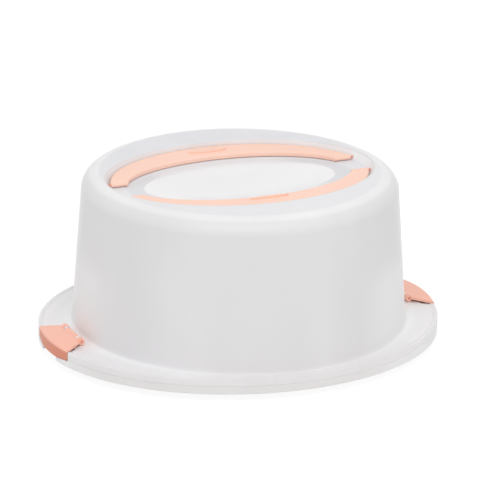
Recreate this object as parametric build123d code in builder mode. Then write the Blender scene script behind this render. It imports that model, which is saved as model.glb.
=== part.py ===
"""Cake carrier: an oval base tray, a round lid that lifts off, two side clips and two folding handles.

Frame: +Z is up, the origin is the middle of the tray's foot, and +X runs along the oval's long
axis, through both side clips. All sizes are in millimetres.
"""

from build123d import *
import os

# ------------------------------------------------------------------ driving dimensions
RIM_HALF_LENGTH = 182.5  # half of the oval rim along X
RIM_HALF_WIDTH = 162.7  # half of the oval rim along Y
LID_TOP_Z = 156.9  # top ring of the lid
WALL = 2.0  # moulded wall thickness
GAP = 0.3  # clearance between loose parts

# tray
FOOT_R = 145.5  # outer radius of the foot
FOOT_INNER_R = 140.0
FOOT_HEIGHT = 1.4
FOOT_BEVEL = 1.0  # the foot's inner side leans by this much
TRAY_TOP_R = 154.2  # outer radius of the tray's side, under its flange
SKIRT_BOTTOM_Z = 6.9
FLANGE_BOTTOM_Z = 12.0
FLANGE_TOP_Z = FLANGE_BOTTOM_Z + WALL
RIM_EDGE_R = 0.6
SEAT_RIB_R = 158.2  # rib that carries the lid's brim
SEAT_RIB_WIDTH = 1.6
FLANGE_BEVEL = 3.2  # the flange's lower edge leans back over this width, so the tooth slips past
NOTCH_HALF_WIDTH = 19.0  # finger notch in the skirt, below each clip
NOTCH_DEPTH = 6.0
NOTCH_SIDE_ANGLE = 65

# lid
LIP_BOTTOM_Z = FLANGE_TOP_Z + GAP
BRIM_BOTTOM_Z = 17.6
BRIM_TOP_Z = BRIM_BOTTOM_Z + WALL
BEAD_TOP_Z = 20.6
BEAD_WIDTH = 3.4
BEAD_EDGE_R = 0.8
SPIGOT_BOTTOM_Z = 11.0
SPIGOT_R = 149.3
SPIGOT_TAPER = 0.4
WALL_LOW_R = 150.3  # outer radius of the wall where it leaves the brim
WALL_HIGH_R = 141.8  # outer radius of the wall where the top rounding starts
ROUNDING_RADIAL = 16.9
ROUNDING_HEIGHT = 15.9
BRIM_FILLET = 3.0

# top of the lid: a dished oval with a flat floor, and a groove round the panel in its middle
RECESS_HALF_LENGTH = 124.6
RECESS_HALF_WIDTH = 91.6
RECESS_FLOOR_Z = 148.3
RECESS_FLOOR_HALF_LENGTH = 120.0
RECESS_FLOOR_HALF_WIDTH = 90.8
GROOVE_FLOOR_Z = 147.2
GROOVE_OUTER = (104.0, 60.0)
PANEL_HALF_LENGTH = 90.4
PANEL_HALF_WIDTH = 47.6
PANEL_BEVEL = 0.6

# handles: crescents between two ellipses
HANDLE_OUTER = (119.0, 89.9)
HANDLE_INNER = (105.6, 61.5)
HANDLE_THICKNESS = 4.2
HANDLE_BOTTOM_Z = 148.6
HANDLE_PIVOT_Y = 20.0
HANDLE_PIN_R = 1.3
HANDLE_EDGE_R = 1.0
HANDLE_PIN_INNER_X = 106.0
HANDLE_PIN_OUTER_X = 127.0
HANDLE_BORE_OVERRUN = 1.0  # the bores run on past each end of a pin
PIN_BLOCK = (10.0, 9.0)  # solid block that carries the outer end of each handle pin
PIN_BLOCK_X = 125.0
PAD_HEIGHT = 1.0
PAD_LENGTH = 38.0
PAD_BEVEL = 0.8
PAD_ROOT = 0.5  # how far the pad is sunk into the handle
REAR_PAD_Y = (71.4, 83.0)  # raised grip pad on the rear handle, from and to
FRONT_PAD_Y = (62.6, 69.0)  # its counterpart on the front handle

# side clips
CLIP_PIVOT_X = 159.5
CLIP_KNUCKLE_R = 3.2
CLIP_KNUCKLE_GAP = 0.35  # play between the knuckles and the brim
CLIP_BARREL_R = 2.3  # the clip's middle knuckle is slimmer than its ears
CLIP_BARREL_HALF_WIDTH = 12.2
CLIP_LUG_R = 2.6
CLIP_HINGE_HALF_WIDTH = 21.3
CLIP_OUTER_HALF_WIDTH = 38.6  # half width at the rim; the sides flare from the hinge to here
CLIP_FLARE_X = 160.0
CLIP_EAR_WIDTH = 5.5
CLIP_PLATE = 2.2
CLIP_PLATE_DROP = 4.0  # how far the plate falls from the hinge to its corners at the rim
CLIP_CROWN = 2.2  # how much higher the middle of its edge at the rim is than the corners
CLIP_SKIN = 2.4  # thickness of the wall that turns down at the rim
CLIP_BOTTOM_Z = 10.4
CLIP_WING_Y = (14.0, 40.0)  # the wall's lower edge rises between these two places
CLIP_WING_RISE = 3.2
CLIP_SLOT_GAP = 0.6  # play between a lug and the plate in front of it
CLIP_EDGE_R = 1.5
SEAT_DEPTH = 3.0  # the lid and the tray are cut back by this much at the rim, behind each clip
SEAT_SIDE_GAP = 0.8
SEAT_BOTTOM_Z = 9.9
SEAT_FLOOR_Z = 18.0  # the lid's brim is lowered to this height below each clip
SEAT_FLOOR_X = 170.5
TOOTH_HALF_WIDTH = 13.0
TOOTH_REACH = 0.7  # how far the tooth reaches in below the tray's flange
TOOTH_HEIGHT = 1.2
TOOTH_ROOT = 0.2  # how far the tooth is sunk into the wall
LUG_Y = (12.5, 15.5)
CLIP_PIN_R = 1.2
PIN_CHAMFER = 0.3
RUNNING_GAP = 0.05  # radial play of a pin in a turning bore
FIXED_GAP = 0.02  # radial play of a pin in a bore that holds it
SINK = 0.5  # how far one block is sunk into the next, so that they fuse
FAR = 400.0  # larger than the whole object

# ------------------------------------------------------------------ derived positions
HANDLE_PIVOT_Z = HANDLE_BOTTOM_Z + HANDLE_THICKNESS / 2
HANDLE_TOP_Z = HANDLE_BOTTOM_Z + HANDLE_THICKNESS
HANDLE_PIN_LENGTH = HANDLE_PIN_OUTER_X - HANDLE_PIN_INNER_X
HANDLE_PIN_X = (HANDLE_PIN_INNER_X + HANDLE_PIN_OUTER_X) / 2
HANDLE_BORE_LENGTH = HANDLE_PIN_LENGTH + 2 * HANDLE_BORE_OVERRUN
ROUNDING_START_Z = LID_TOP_Z - ROUNDING_HEIGHT
TOP_RING_R = WALL_HIGH_R - ROUNDING_RADIAL
CLIP_PIVOT_Z = BRIM_TOP_Z + CLIP_KNUCKLE_R + CLIP_KNUCKLE_GAP
CLIP_PLATE_TOP_Z = CLIP_PIVOT_Z + 0.6 * CLIP_PLATE  # at the hinge
CLIP_SLOT_X = CLIP_PIVOT_X + CLIP_LUG_R + CLIP_SLOT_GAP
CLIP_PIN_LENGTH = 2 * (CLIP_HINGE_HALF_WIDTH - GAP)

SEAT_X = RIM_HALF_LENGTH - SEAT_DEPTH
SEAT_Y = RIM_HALF_WIDTH - SEAT_DEPTH

os.makedirs("parts", exist_ok=True)


def write(part, name):
    """Label a finished piece and write its STEP file."""
    part.label = name
    export_step(part, f"parts/{name}.step")


def clip_plan(side, margin=0.0):
    """Corners of a clip's outline seen from above, widened by a margin. It runs past the rim."""
    past_rim = 2 * SINK
    slope = (CLIP_OUTER_HALF_WIDTH - CLIP_HINGE_HALF_WIDTH) / (RIM_HALF_LENGTH - CLIP_FLARE_X)
    corners = [
        (CLIP_PIVOT_X - CLIP_KNUCKLE_R - margin, CLIP_HINGE_HALF_WIDTH + margin),
        (CLIP_FLARE_X, CLIP_HINGE_HALF_WIDTH + margin),
        (RIM_HALF_LENGTH + past_rim, CLIP_OUTER_HALF_WIDTH + slope * past_rim + margin),
    ]
    return [(side * x, -y) for x, y in corners] + [(side * x, y) for x, y in corners[::-1]]


def crowned_block(side, top_z, bottom_z):
    """Block below a clip's top surface, which is level at the hinge and crowned at the rim."""
    corner_z = top_z - CLIP_PLATE_DROP
    with BuildPart() as block:
        with BuildSketch(Plane.YZ.offset(side * CLIP_PIVOT_X)):
            with Locations((0, (top_z + bottom_z) / 2)):
                Rectangle(2 * CLIP_OUTER_HALF_WIDTH, top_z - bottom_z)
        with BuildSketch(Plane.YZ.offset(side * RIM_HALF_LENGTH)):
            with BuildLine():
                ThreePointArc(
                    (-CLIP_OUTER_HALF_WIDTH, corner_z),
                    (0, corner_z + CLIP_CROWN),
                    (CLIP_OUTER_HALF_WIDTH, corner_z),
                )
                Polyline(
                    (CLIP_OUTER_HALF_WIDTH, corner_z),
                    (CLIP_OUTER_HALF_WIDTH, bottom_z),
                    (-CLIP_OUTER_HALF_WIDTH, bottom_z),
                    (-CLIP_OUTER_HALF_WIDTH, corner_z),
                )
            make_face()
        loft(ruled=True)
    return block.part


def wing_wedge(end, bottom_z):
    """Corners (y, z) of the wedge below the rising lower edge of one end of a clip's wall."""
    start_y, tip_y = CLIP_WING_Y
    return [
        (end * start_y, bottom_z - SINK),
        (end * start_y, bottom_z),
        (end * tip_y, bottom_z + CLIP_WING_RISE),
        (end * tip_y, bottom_z - SINK),
    ]


# ------------------------------------------------------------------ base tray
# A shallow dish: a round floor on a low foot, a sloping side, and an oval flange with a skirt.
with BuildPart() as base_tray:
    with BuildSketch(Plane.XZ):
        with BuildLine():
            Polyline(
                (0, FOOT_HEIGHT),
                (FOOT_INNER_R, FOOT_HEIGHT),
                (FOOT_INNER_R + FOOT_BEVEL, 0),
                (FOOT_R, 0),
                (TRAY_TOP_R, FLANGE_BOTTOM_Z),
                (TRAY_TOP_R, FLANGE_TOP_Z),
                (TRAY_TOP_R - WALL, FLANGE_TOP_Z),
                (FOOT_R - WALL, FOOT_HEIGHT + WALL),
                (0, FOOT_HEIGHT + WALL),
                close=True,
            )
        make_face()
    revolve(axis=Axis.Z)
    with BuildSketch(Plane.XY.offset(FLANGE_BOTTOM_Z)):
        Ellipse(RIM_HALF_LENGTH, RIM_HALF_WIDTH)
        Circle(TRAY_TOP_R - SINK, mode=Mode.SUBTRACT)
    extrude(amount=WALL)
    with BuildSketch(Plane.XY.offset(SKIRT_BOTTOM_Z)):
        Ellipse(RIM_HALF_LENGTH, RIM_HALF_WIDTH)
        Ellipse(RIM_HALF_LENGTH - WALL, RIM_HALF_WIDTH - WALL, mode=Mode.SUBTRACT)
    extrude(amount=FLANGE_TOP_Z - SKIRT_BOTTOM_Z)
    rim_edges = base_tray.edges().filter_by(GeomType.ELLIPSE)
    rim_top = rim_edges.filter_by_position(Axis.Z, FLANGE_TOP_Z - 0.01, FLANGE_TOP_Z + 0.01)
    fillet(rim_top, RIM_EDGE_R)
    with BuildSketch(Plane.XY.offset(FLANGE_TOP_Z)):
        Circle(SEAT_RIB_R)
        Circle(SEAT_RIB_R - SEAT_RIB_WIDTH, mode=Mode.SUBTRACT)
    extrude(amount=BRIM_BOTTOM_Z - GAP - FLANGE_TOP_Z)
    for side in (-1, 1):
        # finger notch, open downwards, with sloping sides
        with BuildSketch(Plane.YZ.offset(side * RIM_HALF_LENGTH)):
            with Locations((0, SKIRT_BOTTOM_Z)):
                Trapezoid(
                    2 * NOTCH_HALF_WIDTH, 2 * (FLANGE_BOTTOM_Z - SKIRT_BOTTOM_Z), NOTCH_SIDE_ANGLE
                )
        extrude(amount=NOTCH_DEPTH, both=True, mode=Mode.SUBTRACT)
        # seat for the clip: the rim cut back behind the clip's wall, down to its lower edge
        with BuildPart(mode=Mode.PRIVATE) as seat:
            with BuildSketch(Plane.XY.offset(SEAT_BOTTOM_Z)):
                with BuildLine():
                    Polyline(*clip_plan(side, SEAT_SIDE_GAP), close=True)
                make_face()
                Ellipse(SEAT_X, SEAT_Y, mode=Mode.SUBTRACT)
            extrude(amount=FLANGE_TOP_Z + SINK - SEAT_BOTTOM_Z)
            for end in (-1, 1):
                with BuildSketch(Plane.YZ.offset(side * RIM_HALF_LENGTH)):
                    Polygon(*wing_wedge(end, SEAT_BOTTOM_Z), align=None)
                extrude(amount=4 * SEAT_DEPTH, both=True, mode=Mode.SUBTRACT)
        add(seat.part, mode=Mode.SUBTRACT)
        # the flange's edge there, leaning back from above to below
        with BuildSketch(Plane.XZ):
            Polygon(
                (side * (SEAT_X - FLANGE_BEVEL), FLANGE_BOTTOM_Z - SINK),
                (side * (SEAT_X - FLANGE_BEVEL), FLANGE_BOTTOM_Z),
                (side * SEAT_X, FLANGE_TOP_Z),
                (side * (SEAT_X + SINK), FLANGE_BOTTOM_Z - SINK),
                align=None,
            )
        extrude(amount=TOOTH_HALF_WIDTH + 2 * GAP, both=True, mode=Mode.SUBTRACT)

write(base_tray.part, "base_tray")

# ------------------------------------------------------------------ lid: shapes cut away and kept
# The hollow of the lid keeps a shell of one wall thickness below the dished top, and a solid
# block for each handle pin behind the ends of the dish.
with BuildPart() as hollow:
    with BuildSketch(Plane.XZ):
        with BuildLine():
            Polyline(
                (0, LID_TOP_Z - WALL),
                (0, SPIGOT_BOTTOM_Z - 1),
                (SPIGOT_R - WALL, SPIGOT_BOTTOM_Z - 1),
                (WALL_LOW_R - WALL, BRIM_TOP_Z),
                (WALL_HIGH_R - WALL, ROUNDING_START_Z),
            )
            EllipticalCenterArc(
                (TOP_RING_R, ROUNDING_START_Z),
                ROUNDING_RADIAL - WALL,
                ROUNDING_HEIGHT - WALL,
                start_angle=0,
                arc_size=90,
            )
            Line((TOP_RING_R, LID_TOP_Z - WALL), (0, LID_TOP_Z - WALL))
        make_face()
    revolve(axis=Axis.Z)
    # the dish and the groove in its floor, seen from below
    with BuildSketch(Plane.XY.offset(RECESS_FLOOR_Z - WALL)):
        Ellipse(RECESS_HALF_LENGTH + WALL, RECESS_HALF_WIDTH + WALL)
    extrude(amount=LID_TOP_Z, mode=Mode.SUBTRACT)
    with BuildSketch(Plane.XY.offset(GROOVE_FLOOR_Z - WALL)):
        Ellipse(GROOVE_OUTER[0] + WALL, GROOVE_OUTER[1] + WALL)
        Ellipse(PANEL_HALF_LENGTH - WALL, PANEL_HALF_WIDTH - WALL, mode=Mode.SUBTRACT)
    extrude(amount=LID_TOP_Z, mode=Mode.SUBTRACT)
    with BuildSketch(Plane.XY.offset(RECESS_FLOOR_Z - WALL)):
        with Locations(
            *[(end * PIN_BLOCK_X, side * HANDLE_PIVOT_Y) for side in (-1, 1) for end in (-1, 1)]
        ):
            Rectangle(*PIN_BLOCK)
    extrude(amount=LID_TOP_Z, mode=Mode.SUBTRACT)

# The dish as the solid that is cut out of the lid's top: its wall leans outwards, and a groove
# runs round the panel in the middle of its floor.
with BuildPart() as dish:
    with BuildSketch(Plane.XY.offset(RECESS_FLOOR_Z)):
        Ellipse(RECESS_FLOOR_HALF_LENGTH, RECESS_FLOOR_HALF_WIDTH)
    with BuildSketch(Plane.XY.offset(LID_TOP_Z)):
        Ellipse(RECESS_HALF_LENGTH, RECESS_HALF_WIDTH)
    loft()
    with BuildSketch(Plane.XY.offset(LID_TOP_Z)):
        Ellipse(RECESS_HALF_LENGTH, RECESS_HALF_WIDTH)
    extrude(amount=SINK)
    with BuildSketch(Plane.XY.offset(GROOVE_FLOOR_Z)):
        Ellipse(*GROOVE_OUTER)
    extrude(amount=RECESS_FLOOR_Z + SINK - GROOVE_FLOOR_Z)
    with BuildSketch(Plane.XY.offset(GROOVE_FLOOR_Z)):
        Ellipse(PANEL_HALF_LENGTH, PANEL_HALF_WIDTH)
    with BuildSketch(Plane.XY.offset(RECESS_FLOOR_Z)):
        Ellipse(PANEL_HALF_LENGTH - PANEL_BEVEL, PANEL_HALF_WIDTH - PANEL_BEVEL)
    loft(mode=Mode.SUBTRACT)

# ------------------------------------------------------------------ lid
# A round drum with a slight taper and a soft shoulder, on an oval brim with a beaded edge.
with BuildPart() as lid_hood:
    with BuildSketch(Plane.XZ):
        with BuildLine():
            Polyline(
                (0, LID_TOP_Z),
                (0, SPIGOT_BOTTOM_Z),
                (SPIGOT_R, SPIGOT_BOTTOM_Z),
                (SPIGOT_R + SPIGOT_TAPER, BRIM_BOTTOM_Z),
                (WALL_LOW_R, BRIM_TOP_Z),
                (WALL_HIGH_R, ROUNDING_START_Z),
            )
            EllipticalCenterArc(
                (TOP_RING_R, ROUNDING_START_Z),
                ROUNDING_RADIAL,
                ROUNDING_HEIGHT,
                start_angle=0,
                arc_size=90,
            )
            Line((TOP_RING_R, LID_TOP_Z), (0, LID_TOP_Z))
        make_face()
    revolve(axis=Axis.Z)
    with BuildSketch(Plane.XY.offset(BRIM_BOTTOM_Z)):
        Ellipse(RIM_HALF_LENGTH, RIM_HALF_WIDTH)
    extrude(amount=WALL)
    with BuildSketch(Plane.XY.offset(BRIM_BOTTOM_Z)):
        Ellipse(RIM_HALF_LENGTH, RIM_HALF_WIDTH)
        Ellipse(RIM_HALF_LENGTH - BEAD_WIDTH, RIM_HALF_WIDTH - BEAD_WIDTH, mode=Mode.SUBTRACT)
    extrude(amount=BEAD_TOP_Z - BRIM_BOTTOM_Z)
    bead_edges = lid_hood.edges().filter_by(GeomType.ELLIPSE)
    bead_top = bead_edges.filter_by_position(Axis.Z, BEAD_TOP_Z - 0.01, BEAD_TOP_Z + 0.01)
    fillet(bead_top, BEAD_EDGE_R)
    with BuildSketch(Plane.XY.offset(LIP_BOTTOM_Z)):
        Ellipse(RIM_HALF_LENGTH, RIM_HALF_WIDTH)
        Ellipse(RIM_HALF_LENGTH - WALL, RIM_HALF_WIDTH - WALL, mode=Mode.SUBTRACT)
    extrude(amount=BRIM_BOTTOM_Z - LIP_BOTTOM_Z)
    brim_corner = lid_hood.edges().filter_by(GeomType.CIRCLE).filter_by_position(
        Axis.Z, BRIM_TOP_Z - 0.01, BRIM_TOP_Z + 0.01
    )
    fillet(brim_corner, BRIM_FILLET)
    for side in (-1, 1):
        # seat for the clip: the brim lowered below its plate and cut back behind its wall
        with BuildSketch(Plane.XY.offset(SEAT_FLOOR_Z - WALL)):
            with BuildLine():
                Polyline(*clip_plan(side, SEAT_SIDE_GAP + WALL), close=True)
            make_face()
            with Locations((side * (SEAT_FLOOR_X - WALL) / 2, 0)):
                Rectangle(SEAT_FLOOR_X - WALL, FAR, mode=Mode.SUBTRACT)
            Ellipse(
                RIM_HALF_LENGTH - WALL / 2, RIM_HALF_WIDTH - WALL / 2, mode=Mode.INTERSECT
            )
        extrude(amount=WALL)
        with BuildSketch(Plane.XY.offset(SEAT_FLOOR_Z)):
            with BuildLine():
                Polyline(*clip_plan(side, SEAT_SIDE_GAP), close=True)
            make_face()
            with Locations((side * SEAT_FLOOR_X / 2, 0)):
                Rectangle(SEAT_FLOOR_X, FAR, mode=Mode.SUBTRACT)
        extrude(amount=BEAD_TOP_Z, mode=Mode.SUBTRACT)
        with BuildSketch(Plane.XY.offset(LIP_BOTTOM_Z - SINK)):
            with BuildLine():
                Polyline(*clip_plan(side, SEAT_SIDE_GAP), close=True)
            make_face()
            Ellipse(SEAT_X, SEAT_Y, mode=Mode.SUBTRACT)
        extrude(amount=BEAD_TOP_Z, mode=Mode.SUBTRACT)
        # lugs for the clip's pin
        for lug_side in (-1, 1):
            lug_y = min(lug_side * LUG_Y[0], lug_side * LUG_Y[1])
            with BuildSketch(Plane.XZ.offset(-lug_y)):
                with Locations((side * CLIP_PIVOT_X, CLIP_PIVOT_Z)):
                    Circle(CLIP_LUG_R)
                with Locations((side * CLIP_PIVOT_X, (CLIP_PIVOT_Z + BRIM_TOP_Z - SINK) / 2)):
                    Rectangle(2 * CLIP_LUG_R, CLIP_PIVOT_Z - BRIM_TOP_Z + SINK)
            extrude(amount=-(LUG_Y[1] - LUG_Y[0]))
    add(hollow.part, mode=Mode.SUBTRACT)
    add(dish.part, mode=Mode.SUBTRACT)
    # bores for the clip pins and the handle pins
    with Locations(
        *[Location((side * CLIP_PIVOT_X, 0, CLIP_PIVOT_Z), (90, 0, 0)) for side in (-1, 1)]
    ):
        Cylinder(CLIP_PIN_R + FIXED_GAP, 2 * LUG_Y[1] + 2 * GAP, mode=Mode.SUBTRACT)
    with Locations(
        *[
            Location((end * HANDLE_PIN_X, side * HANDLE_PIVOT_Y, HANDLE_PIVOT_Z), (0, 90, 0))
            for side in (-1, 1)
            for end in (-1, 1)
        ]
    ):
        Cylinder(HANDLE_PIN_R + FIXED_GAP, HANDLE_PIN_LENGTH + 2 * GAP, mode=Mode.SUBTRACT)

write(lid_hood.part, "lid_hood")

# ------------------------------------------------------------------ handles
# Each handle is a flat crescent that lies in the dish and turns up about two pins at its ends.
for name, side, pad_y in (("handle_rear", 1, REAR_PAD_Y), ("handle_front", -1, FRONT_PAD_Y)):
    with BuildPart() as handle:
        with BuildSketch(Plane.XY.offset(HANDLE_BOTTOM_Z)):
            Ellipse(*HANDLE_OUTER)
            Ellipse(*HANDLE_INNER, mode=Mode.SUBTRACT)
            with Locations((0, side * (FAR / 2 + HANDLE_PIVOT_Y))):
                Rectangle(FAR, FAR, mode=Mode.INTERSECT)
        extrude(amount=HANDLE_THICKNESS)
        fillet(handle.edges().filter_by(GeomType.ELLIPSE), HANDLE_EDGE_R)
        # round barrel at each end, on the pin's axis
        barrel_faces = handle.faces().filter_by(Plane.XZ).sort_by(Axis.X)
        for face in barrel_faces:
            box = face.bounding_box()
            with Locations(
                Location((face.center().X, side * HANDLE_PIVOT_Y, HANDLE_PIVOT_Z), (0, 90, 0))
            ):
                Cylinder(HANDLE_THICKNESS / 2, box.size.X)
        # raised grip pad
        pad_middle = side * (pad_y[0] + pad_y[1]) / 2
        pad_half_width = (pad_y[1] - pad_y[0]) / 2
        with BuildSketch(Plane.XY.offset(HANDLE_TOP_Z - PAD_ROOT)):
            with Locations((0, pad_middle)):
                Ellipse(PAD_LENGTH / 2, pad_half_width)
        with BuildSketch(Plane.XY.offset(HANDLE_TOP_Z + PAD_HEIGHT)):
            with Locations((0, pad_middle)):
                Ellipse(PAD_LENGTH / 2 - PAD_BEVEL, pad_half_width - PAD_BEVEL)
        loft()
        with Locations(
            *[
                Location((end * HANDLE_PIN_X, side * HANDLE_PIVOT_Y, HANDLE_PIVOT_Z), (0, 90, 0))
                for end in (-1, 1)
            ]
        ):
            Cylinder(HANDLE_PIN_R + RUNNING_GAP, HANDLE_BORE_LENGTH, mode=Mode.SUBTRACT)
    write(handle.part, name)

    for end_name, end in (("left", -1), ("right", 1)):
        with BuildPart() as handle_pin:
            with Locations(
                Location((end * HANDLE_PIN_X, side * HANDLE_PIVOT_Y, HANDLE_PIVOT_Z), (0, 90, 0))
            ):
                Cylinder(HANDLE_PIN_R, HANDLE_PIN_LENGTH)
            chamfer(handle_pin.edges().filter_by(GeomType.CIRCLE), PIN_CHAMFER)
        write(handle_pin.part, f"{name}_pin_{end_name}")

# ------------------------------------------------------------------ side clips
# A clip is a plate hinged near the drum, with a wall that turns down at the rim and a tooth that
# reaches in below the tray's flange, over the finger notch.
for name, side in (("clip_left", -1), ("clip_right", 1)):
    with BuildPart() as clip:
        # plate and wall: a crowned block within the outline, hollow behind its skin
        add(crowned_block(side, CLIP_PLATE_TOP_Z, CLIP_BOTTOM_Z))
        with BuildSketch():
            with BuildLine():
                Polyline(*clip_plan(side), close=True)
            make_face()
            Ellipse(RIM_HALF_LENGTH, RIM_HALF_WIDTH, mode=Mode.INTERSECT)
        extrude(amount=LID_TOP_Z, mode=Mode.INTERSECT)
        with BuildPart(mode=Mode.PRIVATE) as core:
            add(crowned_block(side, CLIP_PLATE_TOP_Z - CLIP_PLATE, CLIP_BOTTOM_Z - SINK))
            with BuildSketch():
                Ellipse(RIM_HALF_LENGTH - CLIP_SKIN, RIM_HALF_WIDTH - CLIP_SKIN)
            extrude(amount=LID_TOP_Z, mode=Mode.INTERSECT)
        add(core.part, mode=Mode.SUBTRACT)
        outer_top = clip.edges().filter_by_position(
            Axis.Z, CLIP_PLATE_TOP_Z - CLIP_PLATE_DROP, CLIP_PLATE_TOP_Z - 0.1
        ).sort_by(Axis.X)[-1 if side > 0 else 0]
        fillet(outer_top, CLIP_EDGE_R)
        for end in (-1, 1):
            with BuildSketch(Plane.YZ.offset(side * RIM_HALF_LENGTH)):
                Polygon(*wing_wedge(end, CLIP_BOTTOM_Z), align=None)
            extrude(amount=4 * SEAT_DEPTH, both=True, mode=Mode.SUBTRACT)
        # tooth
        with BuildSketch(Plane.XY.offset(CLIP_BOTTOM_Z)):
            with Locations((side * SEAT_X, 0)):
                Rectangle(2 * SEAT_DEPTH, 2 * TOOTH_HALF_WIDTH)
            Ellipse(
                RIM_HALF_LENGTH - CLIP_SKIN + TOOTH_ROOT,
                RIM_HALF_WIDTH - CLIP_SKIN + TOOTH_ROOT,
                mode=Mode.INTERSECT,
            )
            Ellipse(SEAT_X - TOOTH_REACH, SEAT_Y - TOOTH_REACH, mode=Mode.SUBTRACT)
        extrude(amount=TOOTH_HEIGHT)
        # knuckles on the hinge line: one long barrel and two ears, with a slot for each lug
        with BuildSketch(Plane.XZ.offset(-CLIP_BARREL_HALF_WIDTH)):
            with Locations((side * CLIP_PIVOT_X, CLIP_PIVOT_Z)):
                Circle(CLIP_BARREL_R)
        extrude(amount=2 * CLIP_BARREL_HALF_WIDTH)
        for ear_side in (-1, 1):
            slot_y = ear_side * (LUG_Y[0] + LUG_Y[1]) / 2
            slot_width = LUG_Y[1] - LUG_Y[0] + 2 * GAP
            with Locations((side * CLIP_PIVOT_X, slot_y, CLIP_PIVOT_Z)):
                Box(2 * (CLIP_SLOT_X - CLIP_PIVOT_X), slot_width, FAR / 10, mode=Mode.SUBTRACT)
            ear_from = ear_side * CLIP_HINGE_HALF_WIDTH
            ear_y = min(ear_from, ear_from - ear_side * CLIP_EAR_WIDTH)
            with BuildSketch(Plane.XZ.offset(-ear_y)):
                with Locations((side * CLIP_PIVOT_X, CLIP_PIVOT_Z)):
                    Circle(CLIP_KNUCKLE_R)
            extrude(amount=-CLIP_EAR_WIDTH)
        with Locations(Location((side * CLIP_PIVOT_X, 0, CLIP_PIVOT_Z), (90, 0, 0))):
            Cylinder(CLIP_PIN_R + RUNNING_GAP, 2 * (CLIP_HINGE_HALF_WIDTH + GAP), mode=Mode.SUBTRACT)
    write(clip.part, name)

    with BuildPart() as clip_pin:
        with Locations(Location((side * CLIP_PIVOT_X, 0, CLIP_PIVOT_Z), (90, 0, 0))):
            Cylinder(CLIP_PIN_R, CLIP_PIN_LENGTH)
        chamfer(clip_pin.edges().filter_by(GeomType.CIRCLE), PIN_CHAMFER)
    write(clip_pin.part, f"{name}_pin")
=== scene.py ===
import bmesh
import bpy
import numpy as np
from mathutils import Matrix, Vector


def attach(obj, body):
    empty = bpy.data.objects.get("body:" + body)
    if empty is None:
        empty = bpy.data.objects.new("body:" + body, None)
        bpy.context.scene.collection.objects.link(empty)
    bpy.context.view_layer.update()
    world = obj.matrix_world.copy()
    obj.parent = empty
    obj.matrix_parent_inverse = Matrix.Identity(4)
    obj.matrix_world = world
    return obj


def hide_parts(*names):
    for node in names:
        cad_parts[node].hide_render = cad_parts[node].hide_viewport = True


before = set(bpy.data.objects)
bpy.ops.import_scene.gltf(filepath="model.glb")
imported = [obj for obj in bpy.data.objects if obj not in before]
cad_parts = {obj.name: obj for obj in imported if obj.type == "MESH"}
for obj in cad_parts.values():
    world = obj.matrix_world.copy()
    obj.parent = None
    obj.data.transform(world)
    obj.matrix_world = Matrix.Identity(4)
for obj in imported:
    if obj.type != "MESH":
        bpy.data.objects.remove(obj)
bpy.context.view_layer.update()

# Camera
# A long lens nearly four metres off, a little under nineteen degrees above the table, with the
# carrier turned so that its left clip comes forward.
RIM_MEAN = 0.1725
CAMERA_DISTANCE = 22.0 * RIM_MEAN
CAMERA_HEIGHT_ANGLE = np.radians(18.82)
CAMERA_ROLL = np.radians(0.615)
TURN = np.radians(22.97)
AIM_RIGHT = 0.00049
AIM_HEIGHT = 0.09196
SENSOR_WIDTH = 36.0
LENS_IN_PIXELS = 4237.0
IMAGE_WIDTH = 480.0

across = np.array([np.cos(TURN), -np.sin(TURN), 0])
ahead = np.array([np.sin(TURN), np.cos(TURN), 0])
aim = AIM_RIGHT * across + np.array([0, 0, AIM_HEIGHT])
back = np.array([0, 0, np.sin(CAMERA_HEIGHT_ANGLE)]) - np.cos(CAMERA_HEIGHT_ANGLE) * ahead
upward = np.cross(back, across)
camera_right = np.cos(CAMERA_ROLL) * across + np.sin(CAMERA_ROLL) * upward
camera_up = np.cos(CAMERA_ROLL) * upward - np.sin(CAMERA_ROLL) * across
camera_place = np.eye(4)
camera_spot = aim + CAMERA_DISTANCE * back
camera_place[:3] = np.column_stack([camera_right, camera_up, back, camera_spot])
camera = bpy.data.objects.new("camera", bpy.data.cameras.new("camera"))
bpy.context.collection.objects.link(camera)
camera.matrix_world = Matrix(camera_place)
camera.data.sensor_width = SENSOR_WIDTH
camera.data.lens = SENSOR_WIDTH * LENS_IN_PIXELS / IMAGE_WIDTH
camera.data.clip_end = 100.0
bpy.context.scene.camera = camera
bpy.context.scene.view_settings.view_transform = "Standard"

# Lid shell
# The lid is one moulding of frosted polypropylene, two millimetres thick: a drum with a soft
# shoulder, an oval brim with a beaded edge, cut back where the clips sit, and a dished oval top.
MM = 0.001
SHARP_EDGE = np.radians(40)


def link(name, mesh):
    """Puts a mesh into the scene as an object at the origin."""
    piece = bpy.data.objects.new(name, mesh)
    bpy.context.collection.objects.link(piece)
    return piece


def grid_mesh(name, points, close_u=False, close_v=False, caps=()):
    """Mesh of quads over a grid of points.

    Point (i, j) is joined to (i+1, j), (i+1, j+1) and (i, j+1). A closed direction joins its
    last line to its first. caps names the ends of i, "first" or "last", that are closed by one
    face over that whole line of points.
    """
    rows, columns = points.shape[:2]
    index = np.arange(rows * columns).reshape(rows, columns)
    if close_u:
        index = np.vstack([index, index[:1]])
    if close_v:
        index = np.hstack([index, index[:, :1]])
    quads = np.stack([index[:-1, :-1], index[1:, :-1], index[1:, 1:], index[:-1, 1:]], axis=-1)
    faces = quads.reshape(-1, 4).tolist()
    if "first" in caps:
        faces.append(list(range(columns)))
    if "last" in caps:
        faces.append(list(range(rows * columns - 1, (rows - 1) * columns - 1, -1)))
    mesh = bpy.data.meshes.new(name)
    mesh.from_pydata(points.reshape(-1, 3), [], faces)
    mesh.shade_smooth()
    return mesh


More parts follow.
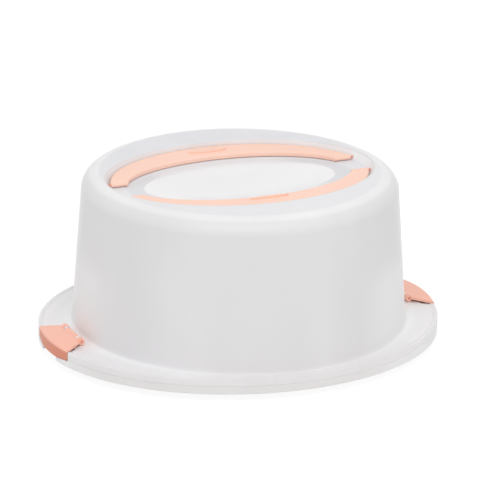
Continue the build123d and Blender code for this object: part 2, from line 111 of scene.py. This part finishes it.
def soft_corners(corners, radii, steps=5):
    """Line through a list of corners, with each corner rounded.

    At a corner the line leaves its side at the corner's radius away, or at 0.45 of the shorter
    side where that is less, and follows a parabola to the same distance along the next side:
    (1-t) squared times the first point, plus 2t(1-t) times the corner, plus t squared times
    the last point.
    """
    corners = np.asarray(corners, float)
    t = np.linspace(0, 1, steps + 1)[:, None]
    line = [corners[:1]]
    for before, corner, after, radius in zip(corners[:-2], corners[1:-1], corners[2:], radii):
        side_in = np.linalg.norm(before - corner)
        side_out = np.linalg.norm(after - corner)
        reach = min(radius, 0.45 * side_in, 0.45 * side_out)
        first = corner + (before - corner) * reach / side_in
        last = corner + (after - corner) * reach / side_out
        line.append((1 - t) ** 2 * first + 2 * t * (1 - t) * corner + t**2 * last)
    line.append(corners[-1:])
    return np.vstack(line)


def shoulder(ring_r, start_z, radial, height, steps=22):
    """Quarter of an ellipse from the top ring down to the wall.

    The radius is the ring's plus radial times the cosine of the angle, and the height is the
    start's plus height times its sine, with the angle falling from 84 to 3 degrees.
    """
    angle = np.radians(np.linspace(84, 3, steps))
    radius = ring_r + radial * np.cos(angle)
    return np.column_stack([radius, radius, start_z + height * np.sin(angle)])


def filled(profile, longest):
    """Profile with each step longer than the longest allowed divided evenly, and points that
    repeat the one before left out."""
    out = [profile[:1]]
    for start, end in zip(profile[:-1], profile[1:]):
        count = int(np.ceil(np.abs(end - start).max() / longest - 1e-6))
        out.append(start + (end - start) * (np.arange(1, count + 1) / count)[:, None])
    return np.vstack(out)


# The lid's section, from the middle of the dish outwards, round the lip and back inside to the
# middle. Each corner is an oval: its half length, its half width and its height in millimetres.
RIM = (182.5, 162.7)
BEAD = 3.4
LIP = 2.0
CENTRE_R = 0.5
TOP_Z = 156.9
DISH_Z = 148.3
GROOVE_Z = 147.4
DISH_UNDER_Z = 146.3
GROOVE_UNDER_Z = 145.2
TOP_RING = 124.9
SHOULDER_Z = 141.0
BRIM_Z = 19.6
BRIM_UNDER_Z = 17.6
LIP_TOP_Z = 20.6
LIP_BOTTOM_Z = 14.05
SPIGOT_Z = 11.0
LONGEST_STEP = 4.5
dish_top = soft_corners(
    [
        (CENTRE_R, CENTRE_R, DISH_Z),
        (89.4, 46.6, DISH_Z),
        (91.0, 48.2, GROOVE_Z),
        (101.5, 57.5, GROOVE_Z),
        (104.4, 60.4, DISH_Z),
        (120.0, 90.8, DISH_Z),
        (124.6, 91.6, TOP_Z),
        (125.3, 125.3, TOP_Z),
        (126.67, 126.67, 156.81),
    ],
    [1.4, 1.0, 1.6, 1.0, 1.4, 2.2, 0.4],
)
outside = soft_corners(
    [
        (141.8, 141.8, SHOULDER_Z),
        (150.2, 150.2, BRIM_Z),
        (170.4, 156.5, BRIM_Z),
        (170.5, 156.6, BRIM_Z),
        (RIM[0] - BEAD - 1.0, RIM[1] - BEAD - 1.0, BRIM_Z),
        (RIM[0] - BEAD + 0.6, RIM[1] - BEAD + 0.6, LIP_TOP_Z),
        (RIM[0], RIM[1], LIP_TOP_Z),
        (RIM[0], RIM[1], LIP_BOTTOM_Z),
        (RIM[0] - LIP, RIM[1] - LIP, LIP_BOTTOM_Z),
        (RIM[0] - LIP, RIM[1] - LIP, BRIM_UNDER_Z),
        (168.5, 156.0, BRIM_UNDER_Z),
        (168.4, 155.9, BRIM_UNDER_Z),
        (149.7, 149.7, BRIM_UNDER_Z),
        (149.3, 149.3, SPIGOT_Z),
        (147.3, 147.3, SPIGOT_Z),
        (148.3, 148.3, BRIM_Z),
        (139.8, 139.8, SHOULDER_Z),
    ],
    [4.5, 0.0, 0.0, 0.4, 1.0, 0.8, 0.5, 0.5, 0.5, 0.0, 0.0, 0.5, 0.5, 0.5, 5.0],
)
inside = soft_corners(
    [
        (128.4, 128.4, 154.4),
        (127.0, 94.0, 154.8),
        (126.6, 93.6, DISH_UNDER_Z),
        (106.0, 62.0, DISH_UNDER_Z),
        (106.0, 62.0, GROOVE_UNDER_Z),
        (88.4, 45.6, GROOVE_UNDER_Z),
        (88.4, 45.6, DISH_UNDER_Z),
        (CENTRE_R, CENTRE_R, DISH_UNDER_Z),
    ],
    [1.0, 1.0, 0.5, 0.5, 0.5, 0.5],
)
profile = np.vstack(
    [
        dish_top,
        shoulder(TOP_RING, SHOULDER_Z, 16.9, 15.9),
        outside,
        shoulder(TOP_RING, SHOULDER_Z, 14.9, 13.9)[::-1][:18],
        inside,
    ]
)
profile = filled(profile, LONGEST_STEP)

# The sides of a clip's seat run in the plan along the line y = 22.1 + 0.769 (x - 160), from
# x = 160 outwards. Ovals smaller than the least one take its angle.
SEAT_SLOPE = 0.769
SEAT_FROM_X = 160.0
SEAT_SIDE = 22.1 - SEAT_SLOPE * SEAT_FROM_X
SEAT_LEAST_OVAL = (SEAT_FROM_X, 153.0)
COLUMN_GAP = np.radians(0.02)


def seat_angle(a, b):
    """Angle on an oval at which the seat's side crosses it: with g the angle whose tangent is
    slope times a over b, it is g less the arcsine of -side over the length of (slope a, b)."""
    a, b = np.maximum(a, SEAT_LEAST_OVAL[0]), np.maximum(b, SEAT_LEAST_OVAL[1])
    return np.arctan2(SEAT_SLOPE * a, b) - np.arcsin(-SEAT_SIDE / np.hypot(SEAT_SLOPE * a, b))


def oval_rings(profile, columns):
    """Closed shell of ovals: ring by ring, x is the long half axis times the cosine of the
    angle, y the short half axis times its sine, and z the ring's height.

    Round each end of the long axis the columns fan out to follow the sides of the seat: up to
    the seat's side they are scaled, and from there to 45 degrees they are spread evenly. Two
    columns stand a fiftieth of a degree to either side of the seat's side. Also gives back
    which columns lie within a seat.
    """
    edge = seat_angle(*RIM)
    spread_to = np.pi / 4
    angle = np.linspace(0, 2 * np.pi, columns, endpoint=False)
    side_angles = np.array([edge - COLUMN_GAP, edge + COLUMN_GAP])
    side_angles = np.concatenate([-side_angles, side_angles])
    side_angles = np.concatenate([side_angles, np.pi + side_angles])
    angle = np.sort(np.concatenate([angle, np.mod(side_angles, 2 * np.pi)]))
    a, b, z = profile[:, :, None].transpose(1, 0, 2)
    off = np.mod(angle + np.pi / 2, np.pi) - np.pi / 2
    end = angle - off
    side = seat_angle(a, b)
    away = np.abs(off)
    within = away * side / edge
    beyond = side + (away - edge) * (spread_to - side) / (spread_to - edge)
    turned = np.where(away < edge, within, np.where(away < spread_to, beyond, away))
    turned = end + np.sign(off) * turned
    x = a * np.cos(turned)
    y = b * np.sin(turned)
    return np.stack([x, y, z + 0 * x], axis=-1), away < edge


# Within a seat the rings of the brim stop three millimetres short of the rim, and the brim lies
# between heights of 16 and 18 mm instead of 17.6 and 19.6 mm, from half lengths of about 168.5
# and 170.5 mm outwards.
LID_COLUMNS = 264
SEAT_RIM = (RIM[0] - 3.0, RIM[1] - 3.0)
SEAT_Z = 18.0
SEAT_UNDER_Z = 16.0
SEAT_INNER = 170.45
SEAT_UNDER_INNER = 168.45
BRIM_ZONE_Z = 21.0
LIP_ZONE_Z = 14.4
lid_points, in_seat = oval_rings(profile, LID_COLUMNS)
seat_profile = profile.copy()
low = profile[:, 2] < BRIM_ZONE_Z
lip = int(np.argmax(low & (profile[:, 2] < LIP_ZONE_Z)))
after_lip = np.arange(len(profile)) >= lip
seat_profile[low & ~after_lip & (profile[:, 0] > SEAT_INNER), 2] = SEAT_Z
seat_profile[low & after_lip & (profile[:, 0] > SEAT_UNDER_INNER), 2] = SEAT_UNDER_Z
past_seat = low & (profile[:, 0] > SEAT_RIM[0])
seat_profile[past_seat, 2] = np.linspace(SEAT_Z, SEAT_UNDER_Z, past_seat.sum() + 2)[1:-1]
seat_profile[low, :2] = np.minimum(seat_profile[low, :2], SEAT_RIM)
seat_points, _ = oval_rings(seat_profile, LID_COLUMNS)
lid_points = np.where(in_seat[None, :, None], seat_points, lid_points)
lid_mesh = grid_mesh("lid_shell", lid_points * MM, close_v=True, caps=("first", "last"))
lid_mesh.set_sharp_from_angle(angle=SHARP_EDGE)
lid_shell = link("lid_shell", lid_mesh)
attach(lid_shell, "lid")
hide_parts("lid_hood")


PLASTIC_IOR = 1.49


def new_material(name, transmission=0.0):
    """Plastic material with one Principled shader; gives material, node tree and shader."""
    material = bpy.data.materials.new(name)
    material.use_nodes = True
    shader = material.node_tree.nodes["Principled BSDF"]
    shader.inputs["IOR"].default_value = PLASTIC_IOR
    shader.inputs["Transmission Weight"].default_value = transmission
    return material, material.node_tree, shader


def add_node(tree, kind, **values):
    """New shader node of a kind, with plain values for sockets by their names."""
    node = tree.nodes.new("ShaderNode" + kind)
    for socket, value in values.items():
        node.inputs[socket.replace("_", " ")].default_value = value
    return node


# Frosted plastic, for every piece: a soft cloudy change between two near tints, faint vertical
# flow marks, an uneven satin and a fine grain.
FLOW_STRETCH = (1.0, 1.0, 0.12)
FLOW_SCALE = 26.0
FLOW_CHANGE = 0.015
SATIN_CHANGE = 0.12
GRAIN_SCALE = 1600.0
GRAIN_HEIGHT = 0.0002
frosted_group = bpy.data.node_groups.new("frosted plastic", "ShaderNodeTree")
for way, sockets in (
    ("INPUT", {"Tint": "Color", "Cloud": "Color", "Cloud Size": "Float", "Satin": "Float"}),
    ("OUTPUT", {"Color": "Color", "Roughness": "Float", "Height": "Float"}),
):
    for socket, kind in sockets.items():
        frosted_group.interface.new_socket(socket, in_out=way, socket_type="NodeSocket" + kind)
links = frosted_group.links
taken = frosted_group.nodes.new("NodeGroupInput")
given = frosted_group.nodes.new("NodeGroupOutput")
place = add_node(frosted_group, "TexCoord")
cloud = add_node(frosted_group, "TexNoise", Detail=3.0)
links.new(place.outputs["Object"], cloud.inputs["Vector"])
links.new(taken.outputs["Cloud Size"], cloud.inputs["Scale"])
soft = add_node(frosted_group, "MapRange", From_Min=0.35, From_Max=0.7)
soft.interpolation_type = "SMOOTHSTEP"
links.new(cloud.outputs["Fac"], soft.inputs["Value"])
mix = add_node(frosted_group, "Mix")
mix.data_type = "RGBA"
links.new(soft.outputs["Result"], mix.inputs["Factor"])
links.new(taken.outputs["Tint"], mix.inputs["A"])
links.new(taken.outputs["Cloud"], mix.inputs["B"])
drawn = add_node(frosted_group, "Mapping", Scale=FLOW_STRETCH)
links.new(place.outputs["Object"], drawn.inputs["Vector"])
flow = add_node(frosted_group, "TexNoise", Scale=FLOW_SCALE, Detail=2.0)
links.new(drawn.outputs["Vector"], flow.inputs["Vector"])
flow_marks = add_node(frosted_group, "MapRange", From_Min=0.3, From_Max=0.7)
flow_marks.inputs["To Min"].default_value = 1.0 - FLOW_CHANGE
flow_marks.inputs["To Max"].default_value = 1.0 + FLOW_CHANGE
links.new(flow.outputs["Fac"], flow_marks.inputs["Value"])
streaked = add_node(frosted_group, "VectorMath")
streaked.operation = "SCALE"
links.new(mix.outputs["Result"], streaked.inputs["Vector"])
links.new(flow_marks.outputs["Result"], streaked.inputs["Scale"])
links.new(streaked.outputs["Vector"], given.inputs["Color"])
grain = add_node(frosted_group, "TexNoise", Scale=GRAIN_SCALE, Detail=2.0)
links.new(place.outputs["Object"], grain.inputs["Vector"])
links.new(grain.outputs["Fac"], given.inputs["Height"])
uneven = add_node(frosted_group, "Math")
uneven.operation = "MULTIPLY_ADD"
uneven.inputs[1].default_value = SATIN_CHANGE
links.new(cloud.outputs["Fac"], uneven.inputs[0])
links.new(taken.outputs["Satin"], uneven.inputs[2])
links.new(uneven.outputs["Value"], given.inputs["Roughness"])


def dress(tree, shader, tint, cloud_tint, cloud_size, satin, bump):
    """Feeds one shader from the frosted plastic group: colour, roughness and fine grain. Gives
    the colour's socket."""
    effect = tree.nodes.new("ShaderNodeGroup")
    effect.node_tree = frosted_group
    effect.inputs["Tint"].default_value = (*tint, 1)
    effect.inputs["Cloud"].default_value = (*cloud_tint, 1)
    effect.inputs["Cloud Size"].default_value = cloud_size
    effect.inputs["Satin"].default_value = satin
    tree.links.new(effect.outputs["Color"], shader.inputs["Base Color"])
    tree.links.new(effect.outputs["Roughness"], shader.inputs["Roughness"])
    relief = add_node(tree, "Bump", Strength=bump, Distance=GRAIN_HEIGHT)
    tree.links.new(effect.outputs["Height"], relief.inputs["Height"])
    tree.links.new(relief.outputs["Normal"], shader.inputs["Normal"])
    return effect.outputs["Color"]


def combine(tree, operation, first, second=None):
    """Math node over one or two sockets or plain numbers; gives its output socket."""
    node = add_node(tree, "Math")
    node.operation = operation
    for slot, value in enumerate((first, second)):
        if isinstance(value, (int, float)):
            node.inputs[slot].default_value = value
        elif value is not None:
            tree.links.new(value, node.inputs[slot])
    return node.outputs["Value"]


def rise(tree, value, low, high):
    """Mask that goes smoothly from 0 at the value low to 1 at the value high, which may be the
    smaller of the two."""
    node = add_node(tree, "MapRange", From_Min=min(low, high), From_Max=max(low, high))
    node.interpolation_type = "SMOOTHSTEP"
    if low > high:
        node.inputs["To Min"].default_value = 1.0
        node.inputs["To Max"].default_value = 0.0
    tree.links.new(value, node.inputs["Value"])
    return node.outputs["Result"]


def both(tree, *masks):
    """Product of masks."""
    out = masks[0]
    for mask in masks[1:]:
        out = combine(tree, "MULTIPLY", out, mask)
    return out


def oval_reach(tree, x, y, half_length, half_width):
    """Square root of (x over the half length) squared plus (y over the half width) squared: it is
    1 on an oval."""
    u = combine(tree, "POWER", combine(tree, "DIVIDE", x, half_length), 2.0)
    v = combine(tree, "POWER", combine(tree, "DIVIDE", y, half_width), 2.0)
    return combine(tree, "SQRT", combine(tree, "ADD", u, v))


def tinted(tree, colour, mask, tint):
    """Colour that is multiplied by a tint where the mask is 1."""
    node = add_node(tree, "Mix")
    node.data_type = "RGBA"
    node.blend_type = "MULTIPLY"
    node.clamp_factor = True
    tree.links.new(mask, node.inputs["Factor"])
    tree.links.new(colour, node.inputs["A"])
    node.inputs["B"].default_value = (*tint, 1)
    return node.outputs["Result"]


def inverse(tree, mask):
    """One less the mask."""
    return combine(tree, "SUBTRACT", 1.0, mask)


def coordinates(tree):
    """The point's x, y and z in metres."""
    place = add_node(tree, "TexCoord")
    split = add_node(tree, "SeparateXYZ")
    tree.links.new(place.outputs["Object"], split.inputs["Vector"])
    return [split.outputs[axis] for axis in "XYZ"]


def turning_away(tree):
    """From 0 where the surface faces the viewer to 1 where it is seen edge on."""
    return add_node(tree, "LayerWeight").outputs["Facing"]


# The lid's colour carries painted light and shade. The panel and the top of the shoulder are left
# whitest, as painted highlights, while the wall and the top ring are darkened with painted shade.
# The dish floor and the groove round the panel carry painted shade, greyest in the groove, above
# all at its ends. The brim's painted shade is palest beside the wall and darker where it is
# narrow, in front and behind. The wall and the lip get a painted glow where they turn away, and
# near each clip the lid takes a painted peach reflection of the clip. The masks' limits are places
# on the lid in metres, or parts of an oval's size.
RIM_LENGTH, RIM_WIDTH = RIM[0] * MM, RIM[1] * MM
frosted_lid, lid_tree, lid_shader = new_material("frosted lid", transmission=0.12)
lid_colour = dress(
    lid_tree, lid_shader, (0.955, 0.947, 0.957), (0.98, 0.972, 0.978), 9.0, 0.36, 0.15
)
x, y, z = coordinates(lid_tree)
far_x = combine(lid_tree, "ABSOLUTE", x)
radius = oval_reach(lid_tree, x, y, 1.0, 1.0)
panel_reach = oval_reach(lid_tree, x, y, 0.0904, 0.0476)
groove_reach = oval_reach(lid_tree, x, y, 0.1040, 0.0600)
rim_reach = oval_reach(lid_tree, x, y, RIM_LENGTH, RIM_WIDTH)
facing = turning_away(lid_tree)
in_dish = both(lid_tree, rise(lid_tree, radius, 0.1262, 0.1255), rise(lid_tree, z, 0.140, 0.146))
near_ends = rise(lid_tree, far_x, 0.050, 0.078)
crisp_panel = both(lid_tree, rise(lid_tree, panel_reach, 1.006, 0.994), near_ends)
soft_panel = both(lid_tree, rise(lid_tree, panel_reach, 1.25, 0.70), inverse(lid_tree, near_ends))
off_panel = inverse(lid_tree, combine(lid_tree, "ADD", crisp_panel, soft_panel))
# Painted shade on the dish floor off the panel, and more painted shade in the groove near its
# ends.
dish_painted_shade = both(lid_tree, in_dish, rise(lid_tree, z, 0.1500, 0.1486), off_panel)
groove_painted_shade = both(lid_tree, dish_painted_shade, rise(lid_tree, groove_reach, 1.03, 0.99), near_ends)
# Painted glow where the wall and lip turn away, and on the lower wall as it turns away.
lower_side = both(lid_tree, rise(lid_tree, z, 0.105, 0.070), rise(lid_tree, facing, 0.30, 0.60))
lower_painted_glow = combine(lid_tree, "MULTIPLY", lower_side, 0.7)
painted_glow = combine(lid_tree, "MAXIMUM", rise(lid_tree, facing, 0.72, 0.98), lower_painted_glow)
# Painted shade on the brim, the lip and the bead, with painted light on the brim beside the wall,
# more painted shade where the brim is narrow, and a painted glow where the lip turns away.
on_brim = both(lid_tree, rise(lid_tree, z, 0.0250, 0.0205), rise(lid_tree, radius, 0.1500, 0.1525))
on_lip = both(lid_tree, rise(lid_tree, z, 0.0202, 0.0188), rise(lid_tree, rim_reach, 0.985, 0.995))
brim_painted_light = both(lid_tree, on_brim, rise(lid_tree, rim_reach, 0.92, 0.86))
front_or_rear = rise(lid_tree, combine(lid_tree, "ABSOLUTE", y), 0.120, 0.155)
narrow_brim_painted_shade = both(lid_tree, on_brim, front_or_rear, rise(lid_tree, z, 0.0188, 0.0194))
lip_painted_glow = both(lid_tree, on_lip, rise(lid_tree, facing, 0.20, 0.50))
past_brim = rise(lid_tree, rim_reach, 0.976, 0.986)
bead_painted_shade = both(lid_tree, past_brim, rise(lid_tree, z, 0.0200, 0.0205))
# Painted shade: the top ring and the dish's shelf are darkened, the shelf bluer at its rear, so
# the shoulder's top between them and the wall reads as a painted highlight.
top_painted_shade = both(lid_tree, rise(lid_tree, z, 0.1525, 0.1556), inverse(lid_tree, in_dish))
shelf_painted_shade = both(lid_tree, rise(lid_tree, z, 0.1545, 0.1562), in_dish)
rear_shelf_painted_shade = both(lid_tree, shelf_painted_shade, rise(lid_tree, y, -0.020, 0.090))
# Painted peach reflection of each clip on the wall and brim round it.
clip_reach = oval_reach(lid_tree, combine(lid_tree, "SUBTRACT", far_x, 0.158), y, 0.030, 0.034)
clip_height = combine(lid_tree, "DIVIDE", combine(lid_tree, "SUBTRACT", z, 0.020), 0.020)
clip_reach = oval_reach(lid_tree, clip_reach, clip_height, 1.0, 1.0)
above_lip = rise(lid_tree, z, 0.0150, 0.0190)
clip_painted_reflection = both(lid_tree, rise(lid_tree, clip_reach, 1.25, 0.55), above_lip)
# Painted shade on the wall, kept off the dish, the brim, the painted glow and the clip's painted
# reflection.
wall_painted_shade = both(
    lid_tree,
    rise(lid_tree, z, 0.1556, 0.1525),
    *(inverse(lid_tree, mask) for mask in (in_dish, on_brim, painted_glow, clip_painted_reflection)),
)
# Each tint paints light or shade: tints under 1 are painted shade, those over 1 painted light and
# glow, and the peach one is the clip's painted reflection.
for mask, tint in (
    (wall_painted_shade, (0.876, 0.871, 0.874)),
    (on_brim, (0.965, 0.960, 0.962)),
    (on_lip, (0.981, 0.971, 0.968)),
    (brim_painted_light, (1.045, 1.055, 1.052)),
    (narrow_brim_painted_shade, (0.960, 0.950, 0.942)),
    (lip_painted_glow, (1.052, 1.058, 1.062)),
    (bead_painted_shade, (0.968, 0.966, 0.965)),
    (top_painted_shade, (0.965, 0.962, 0.962)),
    (shelf_painted_shade, (0.905, 0.905, 0.915)),
    (rear_shelf_painted_shade, (0.945, 0.955, 0.970)),
    (dish_painted_shade, (0.890, 0.900, 0.915)),
    (groove_painted_shade, (0.915, 0.925, 0.940)),
    (clip_painted_reflection, (1.0, 0.955, 0.945)),
):
    lid_colour = tinted(lid_tree, lid_colour, mask, tint)
lid_tree.links.new(lid_colour, lid_shader.inputs["Base Color"])
lid_shell.data.materials.append(frosted_lid)

# Lid lugs and pin blocks
# Two narrow lugs, moulded with the lid of its own frosted plastic, stand on the brim at each clip
# and hold its pin. Under each end of the dish two solid blocks, moulded in the same shot, hold
# the outer ends of the handles' pins.
CLIP_PIVOT = (159.5, 23.15)
LUG_R = 2.6
LUG_FOOT_Z = 19.2
LUG_Y = (12.5, 15.5)
BLOCK_Y = (15.5, 24.5)
BLOCK_X = 125.0


def prism(outline, y_from, y_to, parts):
    """Adds a prism to a list of parts: an outline of (x, z) corners drawn out along y."""
    x, z = np.asarray(outline, float).T
    count = len(x)
    start = sum(len(points) for points, _ in parts)
    ring = start + np.arange(count)
    sides = np.stack([ring, np.roll(ring, -1), np.roll(ring, -1) + count, ring + count], axis=-1)
    points = np.vstack([np.column_stack([x, 0 * x + y, z]) for y in (y_from, y_to)])
    parts.append((points, sides.tolist() + [ring[::-1].tolist(), (ring + count).tolist()]))


lug_turn = np.radians(np.linspace(0, 180, 19))
lug_outline = np.column_stack([LUG_R * np.cos(lug_turn), LUG_R * np.sin(lug_turn) + CLIP_PIVOT[1]])
lug_outline = np.vstack([lug_outline, [(-LUG_R, LUG_FOOT_Z), (LUG_R, LUG_FOOT_Z)]])
block_outline = np.array(
    [(-5.0, 146.4), (5.0, 146.4), (5.0, 151.0), (2.0, 154.4), (-1.5, 155.4), (-5.0, 152.0)]
)
small_parts = []
for end in (-1, 1):
    for side in (-1, 1):
        lug_y = sorted(side * y for y in LUG_Y)
        prism(lug_outline * (end, 1) + (end * CLIP_PIVOT[0], 0), *lug_y, small_parts)
        block_y = sorted(side * y for y in BLOCK_Y)
        prism(block_outline * (end, 1) + (end * BLOCK_X, 0), *block_y, small_parts)
small_mesh = bpy.data.meshes.new("lid_lugs_and_blocks")
small_faces = [face for _, faces in small_parts for face in faces]
small_mesh.from_pydata(np.vstack([points for points, _ in small_parts]) * MM, [], small_faces)
outward = bmesh.new()
outward.from_mesh(small_mesh)
bmesh.ops.recalc_face_normals(outward, faces=outward.faces)
outward.to_mesh(small_mesh)
outward.free()
small_mesh.shade_smooth()
small_mesh.set_sharp_from_angle(angle=SHARP_EDGE)
small_mesh.materials.append(frosted_lid)
lid_lugs = link("lid_lugs_and_blocks", small_mesh)
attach(lid_lugs, "lid")

# Tray
# The tray is a second moulding of the same frosted plastic. Its floor is as white as the lid. Its
# flange and skirt carry painted shade, a shade greyer below the lid's brim, save where they turn
# away, which stays pale as a painted glow.
frosted_tray, tray_tree, tray_shader = new_material("frosted tray", transmission=0.10)
tray_colour = dress(
    tray_tree, tray_shader, (0.955, 0.945, 0.945), (0.98, 0.970, 0.970), 9.0, 0.40, 0.15
)
x, y, z = coordinates(tray_tree)
skirt_painted_shade = rise(tray_tree, oval_reach(tray_tree, x, y, 1.0, 1.0), 0.1500, 0.1560)
# Painted shade on the flange and skirt, kept off by a painted glow where they turn away.
painted_glow = rise(tray_tree, turning_away(tray_tree), 0.20, 0.50)
skirt_painted_shade = both(tray_tree, skirt_painted_shade, inverse(tray_tree, painted_glow))
tray_colour = tinted(tray_tree, tray_colour, skirt_painted_shade, (0.913, 0.898, 0.892))
tray_tree.links.new(tray_colour, tray_shader.inputs["Base Color"])


def finish_node(node, material):
    """Gives a CAD node one material in place of its own."""
    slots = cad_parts[node].data.materials
    slots.clear()
    slots.append(material)


finish_node("base_tray", frosted_tray)

# Handles
# The handles are two crescents that lie in the dish and fold up on pins at their ends. Each is
# injection moulded in one with its pad, of pale peach polypropylene with a satin surface.
peach_handle, handle_tree, handle_shader = new_material("peach handle")
handle_colour = dress(
    handle_tree, handle_shader, (0.965, 0.632, 0.508), (0.975, 0.652, 0.532), 14.0, 0.42, 0.2
)
# A fine darker line of painted shade marks the crease at the sloping edge of each raised pad: on
# its side nearer the panel on the rear handle, and all round on the front one.
x, y, z = coordinates(handle_tree)
pad_crease_painted_shade = both(
    handle_tree,
    rise(handle_tree, combine(handle_tree, "ABSOLUTE", x), 0.0195, 0.0175),
    rise(handle_tree, z, 0.15280, 0.15295),
    rise(handle_tree, z, 0.15385, 0.15370),
    rise(handle_tree, y, 0.0785, 0.0765),
)
handle_colour = tinted(handle_tree, handle_colour, pad_crease_painted_shade, (0.94, 0.78, 0.69))
handle_tree.links.new(handle_colour, handle_shader.inputs["Base Color"])
finish_node("handle_front", peach_handle)
finish_node("handle_rear", peach_handle)

# Clips and pins
# Each clip is one injection moulding of a stronger peach plastic than the handles: a plate with
# ears, and an outer wall that snaps over the tray's flange, darkened with painted shade. The pins
# of clips and handles are plain rods of the same plastic.
peach_clip, clip_tree, clip_shader = new_material("peach clip")
clip_colour = dress(
    clip_tree, clip_shader, (0.950, 0.497, 0.378), (0.970, 0.520, 0.402), 22.0, 0.40, 0.2
)
x, y, z = coordinates(clip_tree)
# Painted shade: the clip's outer wall, below the plate, is darkened and deepened in colour.
near_rim = rise(clip_tree, oval_reach(clip_tree, x, y, RIM_LENGTH, RIM_WIDTH), 0.992, 0.998)
clip_wall_painted_shade = both(clip_tree, near_rim, rise(clip_tree, z, 0.0212, 0.0192))
clip_colour = tinted(clip_tree, clip_colour, clip_wall_painted_shade, (0.76, 0.50, 0.40))
clip_tree.links.new(clip_colour, clip_shader.inputs["Base Color"])
finish_node("clip_left", peach_clip)
finish_node("clip_right", peach_clip)
peach_pin, pin_tree, pin_shader = new_material("peach pin")
dress(pin_tree, pin_shader, (0.72, 0.30, 0.22), (0.76, 0.34, 0.25), 60.0, 0.35, 0.2)
for end in ("left", "right"):
    finish_node(f"handle_front_pin_{end}", peach_pin)
    finish_node(f"handle_rear_pin_{end}", peach_pin)
    finish_node(f"clip_{end}_pin", peach_pin)

# Floor and light
# A pale floor that the camera sees as white, with the object's faint shadow kept, under an even
# white sky and one broad lamp high in front.
FLOOR_HALF = 6.0
FLOOR_WHITE = 1.06
FLOOR_WHITE_SHARE = 0.86
SKY_LIGHT = 0.82
LAMP_POWER = 14.0
LAMP_SIZE = 1.6
LAMP_DISTANCE = 2.4
LAMP_HEIGHT_ANGLE = 0.92
LAMP_ACROSS = 0.1
LAMP_AIM_HEIGHT = 0.1
PALE_GREY = (0.80, 0.80, 0.80, 1)
WHITE = (1, 1, 1, 1)


def seen_directly(tree):
    """Mask that is 1 for what the camera sees, straight or by reflection or through the object."""
    path = add_node(tree, "LightPath")
    straight = path.outputs["Is Camera Ray"]
    reflected = combine(tree, "MAXIMUM", straight, path.outputs["Is Glossy Ray"])
    return combine(tree, "MAXIMUM", reflected, path.outputs["Is Transmission Ray"])


corners = np.array([(-1, -1, 0), (1, -1, 0), (1, 1, 0), (-1, 1, 0)]) * FLOOR_HALF
floor_mesh = bpy.data.meshes.new("floor")
floor_mesh.from_pydata(corners, [], [(0, 1, 2, 3)])
floor = link("floor", floor_mesh)
floor_material = bpy.data.materials.new("pale floor")
floor_material.use_nodes = True
floor_tree = floor_material.node_tree
floor_tree.nodes.clear()
floor_out = add_node(floor_tree, "OutputMaterial")
floor_mix = add_node(floor_tree, "MixShader")
floor_diffuse = add_node(floor_tree, "BsdfDiffuse")
floor_white = add_node(floor_tree, "Emission", Color=WHITE, Strength=FLOOR_WHITE)
floor_seen = seen_directly(floor_tree)
floor_share = combine(floor_tree, "MULTIPLY", floor_seen, FLOOR_WHITE_SHARE)
floor_tint = add_node(floor_tree, "Mix")
floor_tint.data_type = "RGBA"
floor_tint.inputs["A"].default_value = PALE_GREY
floor_tint.inputs["B"].default_value = WHITE
floor_tree.links.new(floor_seen, floor_tint.inputs["Factor"])
floor_tree.links.new(floor_tint.outputs["Result"], floor_diffuse.inputs["Color"])
floor_tree.links.new(floor_share, floor_mix.inputs["Fac"])
floor_tree.links.new(floor_diffuse.outputs["BSDF"], floor_mix.inputs[1])
floor_tree.links.new(floor_white.outputs["Emission"], floor_mix.inputs[2])
floor_tree.links.new(floor_mix.outputs["Shader"], floor_out.inputs["Surface"])
floor.data.materials.append(floor_material)

world = bpy.data.worlds.new("studio")
bpy.context.scene.world = world
world.use_nodes = True
sky_tree = world.node_tree
sky = sky_tree.nodes["Background"]
sky.inputs["Color"].default_value = WHITE
strength = add_node(sky_tree, "MapRange", To_Min=SKY_LIGHT, To_Max=1.0)
sky_tree.links.new(seen_directly(sky_tree), strength.inputs["Value"])
sky_tree.links.new(strength.outputs["Result"], sky.inputs["Strength"])

lamp = bpy.data.objects.new("softbox", bpy.data.lights.new("softbox", "AREA"))
bpy.context.collection.objects.link(lamp)
lamp.data.shape = "DISK"
lamp.data.size = LAMP_SIZE
lamp.data.energy = LAMP_POWER
lamp_way = np.array([0, 0, np.sin(LAMP_HEIGHT_ANGLE)]) - np.cos(LAMP_HEIGHT_ANGLE) * ahead
lamp.location = Vector(LAMP_DISTANCE * lamp_way + LAMP_ACROSS * across)
lamp.rotation_mode = "QUATERNION"
lamp_aim = Vector((0, 0, LAMP_AIM_HEIGHT))
lamp.rotation_quaternion = (lamp.location - lamp_aim).to_track_quat("Z", "Y")
